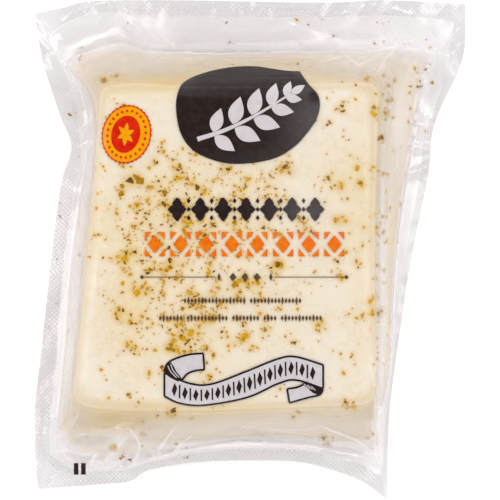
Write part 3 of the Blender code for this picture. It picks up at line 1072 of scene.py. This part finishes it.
def print_ribbon(press):
    """A wavy ribbon with folded ends and a row of diamonds and bars along it."""
    top = (
        (-22.1, -31.8), (-15.5, -34.5), (-9.8, -34.6), (-0.8, -31.3), (7.3, -28.1), (11.9, -27.6),
        (18.9, -29.7),
    )
    bottom = (
        (-22.1, -37.8), (-18.1, -39.6), (-11.8, -40.1), (-0.8, -38.1), (7.3, -34.5), (11.9, -33.6),
        (18.9, -35.8),
    )
    upper_tail = ((-22.2, -31.2), (-21.2, -29.2), (-19.1, -28), (-15.6, -27), (-12.1, -26.7))
    upper_tail_foot = ((-17.6, -33.6), (-16.2, -32), (-14.2, -31.2), (-11.8, -30.9))
    lower_tail = ((9.6, -35.9), (12.4, -35.4), (14.9, -34.1))
    lower_tail_foot = ((10.2, -39.5), (15.2, -38.1), (18, -37.4), (18.9, -36))
    upper_edge, lower_edge = smooth_route(top), smooth_route(bottom)
    tail_one = between(smooth_route(upper_tail, 24), smooth_route(upper_tail_foot, 24))
    tail_two = between(smooth_route(lower_tail, 20), smooth_route(lower_tail_foot, 24))
    press.lay("ribbon", [between(upper_edge, lower_edge)], "white", FAR)
    press.lay("ribbon_ends", [tail_one, tail_two], "white", FARTHER)
    lines = [
        stroke(route, 0.5, count)
        for route, count in (
            (top, 60), (bottom, 60), ((top[0], bottom[0]), 8), ((top[-1], bottom[-1]), 8),
            (upper_tail, 24), (upper_tail_foot, 24), ((upper_tail[-1], upper_tail_foot[-1]), 8),
            (lower_tail_foot, 24), (lower_tail, 12), ((lower_tail[0], lower_tail_foot[0]), 8),
        )
    ]
    for index in range(4, 58, 2):
        upper, lower = upper_edge[index], lower_edge[index]
        place, rise = (upper + lower) / 2, (upper - lower) * 0.29
        if index % 4:
            lines.append(stroke((place - rise, place + rise), 0.42, 4))
        else:
            lean = np.array((0.72, 0.3))
            lines.append(np.array((place - lean, place - rise, place + lean, place + rise)))
    fold_one = (
        (-22.3, -31.2), (-21.5, -29.6), (-20.4, -29), (-19.4, -30.6), (-17.4, -33.6), (-18.6, -34),
        (-20.6, -33), (-22.1, -31.9),
    )
    fold_two = ((13.4, -34.5), (14.9, -34.1), (18.7, -35.7), (18.7, -36.6), (17.6, -37.5), (16.2, -36.9))
    press.lay("ribbon_lines", lines + [np.array(fold_one), np.array(fold_two)], "dark", MIDDLE)
    glints = [
        stroke(((-21.2 + step, -29.9 + 0.5 * step), (-20.6 + step, -31.3 + 0.2 * step),
                (-19.0 + 0.9 * step, -33.0 + 0.1 * step)), 0.24, 10)
        for step in (0, 0.75, 1.5)
    ]
    glints += [
        stroke(((13.9 + step, -34.6 - 0.3 * step), (15.4 + 0.8 * step, -35.9 - 0.2 * step)), 0.22, 6)
        for step in (0, 0.95, 1.9)
    ]
    press.lay("ribbon_glints", glints, "white")


def print_seal_marks(press):
    """Two small bars, printed on top of the seal."""
    marks = [bar(x, x + 1.2, -58.4, -55.4) for x in (-45.8, -43.9)]
    press.lay("seal_marks", marks, "dark", -0.1)


def print_on_film(surface):
    """A plain generic layout in the places and colours of the pack's own print."""
    press = Press(surface)
    print_oval(press)
    print_badge(press)
    print_rosettes(press)
    print_tiles(press)
    print_divider(press)
    print_small_rows(press)
    print_ribbon(press)
    print_seal_marks(press)


# Mint flakes

FLAKE_COUNT = 1900
# Where small flakes may lie, and which of it counts as the face, with the chance of a stray one
FLAKE_FIELD = ((-50, 52), (-56, 60))
FACE_FIELD = ((-44, 36), (-44, 44))
STRAY_ON_FACE, STRAY_OFF_FACE = 0.05, 0.018
# The chance that a flake is the last of its clump
CLUMPING = 0.45
SMALLEST, LARGEST = 0.34, 2.7
SIZE_SHAPE, SIZE_SCALE = 1.05, 0.46
# Larger flakes, as (x, y, size)
BIG_FLAKES = (
    (-33.6, -16.8, 2.6), (-21.4, -5.2, 2.2), (-32.3, -2.6, 2), (-26.3, -5.4, 1.9), (6.5, -3.1, 2.6),
    (43.7, 42.9, 1.6), (33.8, 29.4, 1.9), (34.8, 19.8, 1.4), (33.8, -16.1, 2.2), (28.4, -3.9, 1.8),
    (23.5, 36.7, 1.8), (-28.9, 18.1, 3.2), (-5.2, 21.2, 1.8), (-20.4, -25.8, 2.6), (-17, -22.5, 2.2),
    (-15.8, -23.8, 2), (-30.5, -37.7, 1.6), (-33, -53.6, 1.6), (-31.2, -54.4, 1.2), (-10.6, -33.1, 1.8),
    (-24, 22.6, 1.4), (-7, 12.4, 2), (-22, 12, 2.2), (-9.4, 6.6, 2), (19.8, 18.6, 1.6),
    (-18.6, 21.4, 1.8), (-18.9, 18.9, 2), (-18.3, -8, 1.6), (9.3, 22, 1.6), (-14.6, -14.5, 1.6),
    (-12, 14.5, 1.8), (-23.5, 2, 1.8), (-1.5, 16.5, 1.6), (-26.8, 8.6, 1.6), (31.2, -13, 1.2),
)
# Loose scraps on the walls and the flange, in the same form
LOOSE_FLAKES = (
    (31.5, -16.1, 2.2), (31, -13.4, 1.5), (32.2, -12.2, 1.6), (32.2, -7.5, 1), (34.7, -8.6, 0.7),
    (32.9, 5.9, 0.9), (34.7, 4.9, 0.7), (39.3, 11.8, 0.9), (38.4, 2, 0.7), (32.4, 9.4, 0.8),
    (12.2, 59.8, 1.4), (15.1, 58.6, 0.8), (18.9, 59.9, 0.6), (21.7, 55.6, 0.9), (32.4, 53.7, 0.8),
    (46.8, 52.6, 0.9), (45.8, 54.8, 0.8), (46.8, 48.2, 0.8), (45.7, 47, 0.9), (41.6, 42.4, 1.1),
    (41.5, 40.9, 1), (37.4, 43.9, 1), (35.9, 42.5, 0.8), (34.6, 45.2, 0.7), (41.6, 36.8, 0.7),
    (12.4, 48.6, 0.9), (9.9, 48.4, 0.7), (27.3, 42.9, 0.9), (41.3, 33.3, 0.7), (-44.3, -1.2, 0.6),
)
# The kinds, with the dark and the light tone of each
FLAKE_KINDS = {
    "mint_golden": ((200, 146, 0), (230, 178, 6)),
    "mint_olive": ((158, 110, 2), (194, 144, 6)),
    "mint_dark": ((104, 68, 10), (142, 98, 12)),
}
# The share of each kind among small, larger and loose flakes
SMALL_SHARES, LARGE_SHARES, LOOSE_SHARES = (0.54, 0.36, 0.1), (0.14, 0.46, 0.4), (0.36, 0.46, 0.18)
# How deep flakes lie under the film and how thick they are: in the cheese's skin on the face, and
# thinner ones just under the film off it, below a height
FLAKE_DEPTH = 0.33
FLAKE_THICKNESS = 0.14
LOOSE_FLAKE_DEPTH = 0.12
LOOSE_FLAKE_THICKNESS = 0.05
LOOSE_BELOW = 24.0
# How far a loose scrap may be drawn out down a steep wall
LOOSE_FLAKE_STRETCH = 1.6
# The stain that a flake leaves in the cheese round it: its reach and its strength
HALO = 0.78
HALO_STRENGTH = 0.3


def flake_places(draw):
    """Where flakes lie, as (x, y, size, kind): in clumps by the herb, and sparse elsewhere."""
    places = []
    while len(places) < FLAKE_COUNT:
        x, y = [draw.uniform(*side) for side in FLAKE_FIELD]
        stray = STRAY_ON_FACE if within(FACE_FIELD, x, y) else STRAY_OFF_FACE
        if draw.uniform() > clusters_at(HERB, x, y) + stray:
            continue
        for _ in range(int(draw.geometric(CLUMPING))):
            size = min(SMALLEST + draw.gamma(SIZE_SHAPE, SIZE_SCALE), LARGEST)
            shift_x, shift_y = draw.normal(0, 1.0, 2).tolist()
            kind = draw.choice(list(FLAKE_KINDS), p=SMALL_SHARES)
            places.append((x + shift_x, y + shift_y, size, kind))
    for x, y, size in BIG_FLAKES:
        for _ in range(3):
            shift_x, shift_y = draw.normal(0, 0.26 * size, 2).tolist()
            kind = draw.choice(list(FLAKE_KINDS), p=LARGE_SHARES)
            places.append((x + shift_x, y + shift_y, size * draw.uniform(0.65, 1.05), kind))
    for x, y, size in LOOSE_FLAKES:
        places.append((x, y, 1.2 * size, draw.choice(list(FLAKE_KINDS), p=LOOSE_SHARES)))
    return places


def torn_rim(size, draw):
    """A torn scrap's rim, as shifts (x, y) from its middle."""
    count = int(draw.integers(6, 10))
    angles = np.sort(draw.uniform(0, 2 * np.pi, count))
    reach = size / 2 * draw.uniform(0.45, 1.0, count)
    squeeze = draw.uniform(0.5, 1.0)
    turn = draw.uniform(0, np.pi)
    along, across = reach * np.cos(angles), reach * squeeze * np.sin(angles)
    shifts_x = along * np.cos(turn) - across * np.sin(turn)
    shifts_y = along * np.sin(turn) + across * np.cos(turn)
    return np.column_stack((shifts_x, shifts_y))


def flake(target, surface, x, y, size, draw):
    """One torn scrap of leaf with a little thickness, in the cheese's skin or loose under the film."""
    height, normal = surface.hit(x, y)
    rim = torn_rim(size, draw)
    curls = draw.uniform(-1, 1, len(rim))
    if height is None:
        return
    if height < LOOSE_BELOW and clusters_at(INKED, x, y) < 0.2:
        loose_flake(target, surface, np.array((x, y)), rim, normal)
        return
    thickness = min(FLAKE_THICKNESS, 0.25 * size)
    axis_x = normal.orthogonal().normalized()
    axis_y = normal.cross(axis_x)
    middle = Vector((x, y, height)) - FLAKE_DEPTH * normal
    top, bottom = [], []
    for (shift_x, shift_y), curl in zip(rim.tolist(), (0.12 * thickness * curls).tolist()):
        offset = shift_x * axis_x + shift_y * axis_y
        top.append(target.verts.new((middle + offset * 0.92 + (thickness / 2 + curl) * normal) * MM))
        bottom.append(target.verts.new((middle + offset - (thickness / 2) * normal) * MM))
    target.faces.new(top)
    target.faces.new(bottom[::-1])
    for index in range(len(rim)):
        after = (index + 1) % len(rim)
        target.faces.new((bottom[index], bottom[after], top[after], top[index]))


def loose_flake(target, surface, middle, rim, normal):
    """A thin scrap that follows the film from just under it, from its middle out to its rim."""
    steep = np.array((normal.x, normal.y)) / max(np.hypot(normal.x, normal.y), 1e-6)
    shrink = 1 - min(1, LOOSE_FLAKE_STRETCH * normal.z)
    rim = rim - shrink * (rim @ steep)[:, None] * steep
    plan = np.vstack((middle, middle + 0.5 * rim, middle + rim)).tolist()
    heights = [surface.hit(x, y)[0] for x, y in plan]
    if None in heights:
        return
    layers = []
    for side in (1, -1):
        lift = side * LOOSE_FLAKE_THICKNESS / 2 - LOOSE_FLAKE_DEPTH
        layers.append([
            target.verts.new((x * MM, y * MM, (height + lift) * MM))
            for (x, y), height in zip(plan, heights)
        ])
    upper, lower = layers
    count = len(rim)
    for index in range(count):
        after = (index + 1) % count
        for layer in layers:
            inner, outer = layer[1:1 + count], layer[1 + count:]
            target.faces.new((layer[0], inner[index], inner[after]))
            target.faces.new((inner[index], outer[index], outer[after], inner[after]))
        here, there = 1 + count + index, 1 + count + after
        target.faces.new((lower[here], lower[there], upper[there], upper[here]))


def mint_flakes(places, surface, draw):
    """The flakes, one piece for each kind."""
    meshes = {name: bmesh.new() for name in FLAKE_KINDS}
    for x, y, size, kind in places:
        flake(meshes[kind], surface, x, y, size, draw)
    for name, target in meshes.items():
        dark, light = FLAKE_KINDS[name]
        bmesh.ops.recalc_face_normals(target, faces=target.faces[:])
        mesh = bpy.data.meshes.new(name)
        target.to_mesh(mesh)
        target.free()
        dress(add(name, mesh), leaf_material(name, srgb(*dark), srgb(*light)))


# The studio


def studio():
    """The floor, the light and the camera, straight above as in the photo."""
    floor = bpy.data.meshes.new("floor")
    # In metres. It lies just below the base, so that the two never share a plane.
    half, level = 3.0, -0.00005
    corners = [(-half, -half, level), (half, -half, level), (half, half, level), (-half, half, level)]
    floor.from_pydata(corners, [], [(0, 1, 2, 3)])
    floor.materials.append(floor_material())
    add("floor", floor)

    # A pale tent with a dark card overhead, and four soft boxes high round it
    world = bpy.data.worlds.new("studio")
    bpy.context.scene.world = world
    world.use_nodes = True
    nodes, links = world.node_tree.nodes, world.node_tree.links
    direction = nodes.new("ShaderNodeSeparateXYZ")
    links.new(nodes.new("ShaderNodeTexCoord").outputs["Generated"], direction.inputs[0])
    tent = nodes.new("ShaderNodeMapRange")
    tent.interpolation_type = "SMOOTHSTEP"
    links.new(direction.outputs["Z"], tent.inputs["Value"])
    card_edge, card_middle, pale, dark = 0.78, 0.93, 1.12, 0.04
    for index, limit in enumerate((card_edge, card_middle, pale, dark), 1):
        tent.inputs[index].default_value = limit
    nodes["Background"].inputs["Color"].default_value = (1, 1, 1, 1)
    links.new(tent.outputs[0], nodes["Background"].inputs["Strength"])

    lamp("left_box", (-0.74, 0.05, 0.82), (0.34, 0.9), 3.1)
    lamp("right_box", (0.74, 0.05, 0.82), (0.34, 0.9), 2.6)
    lamp("top_box", (-0.05, 0.8, 0.8), (0.8, 0.24), 2.42)
    lamp("bottom_box", (0.05, -0.8, 0.8), (0.8, 0.24), 1.38)

    camera = bpy.data.cameras.new("camera")
    camera.sensor_width = 36
    camera.clip_end = 10
    distance, flange_level, view_width = 2.5, 0.009, 0.130
    camera.lens = camera.sensor_width * (distance - flange_level) / view_width
    eye = bpy.data.objects.new("camera", camera)
    eye.location = (0, 0, distance)
    bpy.context.scene.collection.objects.link(eye)
    bpy.context.scene.camera = eye
    bpy.context.scene.view_settings.view_transform = "Standard"


def lamp(name, place, size, power):
    """A soft box that faces the pack."""
    light = bpy.data.lights.new(name, "AREA")
    light.shape = "RECTANGLE"
    light.size, light.size_y = size
    light.energy = power
    box = bpy.data.objects.new(name, light)
    box.location = place
    box.rotation_euler = (Vector((0, 0, 0)) - Vector(place)).to_track_quat("-Z", "Y").to_euler()
    bpy.context.scene.collection.objects.link(box)


def main():
    studio()
    clear = film_material("clear_film", (0.893, 0.887, 0.891, 1), srgb(237, 231, 231), 0.05)
    fused = film_material("fused_film", (0.68, 0.668, 0.676, 1), srgb(228, 221, 223), 0.08)
    draw = np.random.default_rng(40)
    flakes = flake_places(draw)
    top = web(
        "top_web", clear, detail=9, upper=True, face_rings=26, wall_rings=44, flange_rings=16, flakes=flakes
    )
    web("bottom_web", clear, detail=3, upper=False, face_rings=10, wall_rings=20, flange_rings=8)
    seal = heat_seal(fused, flakes)
    cheese_block(flakes)
    whey_pockets()
    surface = Surface(top, seal)
    print_on_film(surface)
    mint_flakes(flakes, surface, draw)


main()
